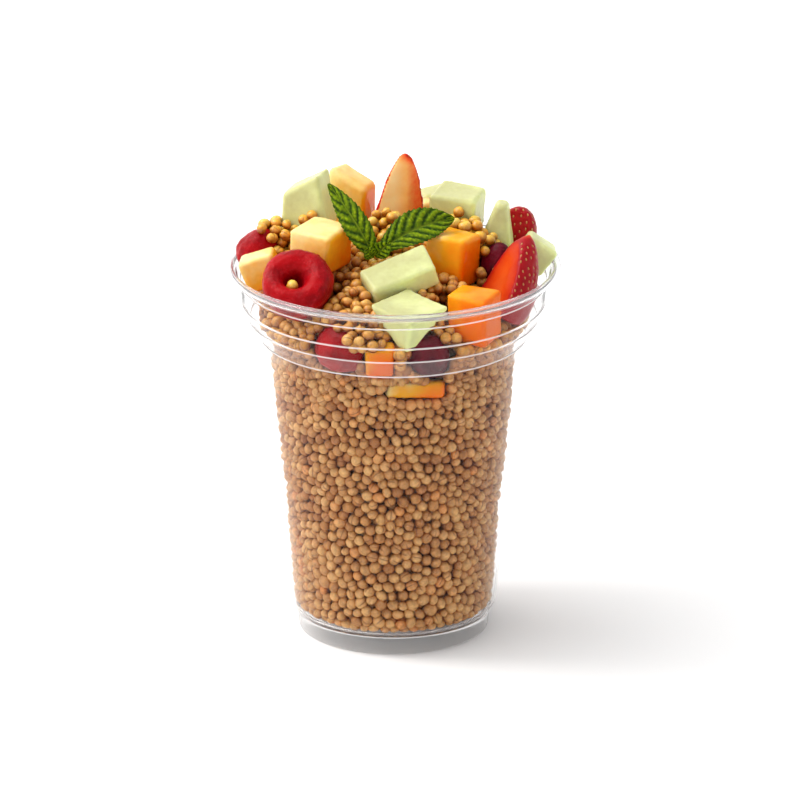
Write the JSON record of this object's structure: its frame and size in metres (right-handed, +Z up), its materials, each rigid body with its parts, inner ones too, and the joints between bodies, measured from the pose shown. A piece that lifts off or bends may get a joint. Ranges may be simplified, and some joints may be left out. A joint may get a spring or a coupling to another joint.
{
  "type": "fruit cup",
  "caption": "Clear stepped cup of toasted round grains topped with melon pieces, strawberry, dark berries and a mint sprig.",
  "frame": {"origin": "middle of the cup's foot, on the surface that the cup stands on", "axes": "+Z up along the cup's axis, -Y towards the side that is looked at, +X to that viewer's right"},
  "size_m": [0.098, 0.098, 0.1394],
  "materials": {
    "clear_plastic": "clear",
    "grain": "satin",
    "honeydew": "moist",
    "cantaloupe": "moist",
    "strawberry": "moist",
    "dark_berry": "velvety",
    "mint": "satin"
  },
  "bodies": {
    "root": {"cup": "clear_plastic", "grain_fill": "grain", "mint_sprig": "mint", "honeydew_back": "honeydew", "honeydew_back_left": "honeydew", "honeydew_back_right": "honeydew", "honeydew_centre": "honeydew", "honeydew_far_right": "honeydew", "honeydew_front": "honeydew", "honeydew_right": "honeydew", "cantaloupe_back": "cantaloupe", "cantaloupe_back_right": "cantaloupe", "cantaloupe_front": "cantaloupe", "cantaloupe_front_left": "cantaloupe", "cantaloupe_front_right": "cantaloupe", "cantaloupe_left": "cantaloupe", "cantaloupe_low": "cantaloupe", "cantaloupe_right": "cantaloupe", "strawberry_back": "strawberry", "strawberry_far_right": "strawberry", "strawberry_right": "strawberry", "berry_front_left": "dark_berry", "berry_front_right": "dark_berry", "berry_hulled": "dark_berry", "berry_left": "dark_berry", "berry_right": "dark_berry"}
  },
  "joints": []
}
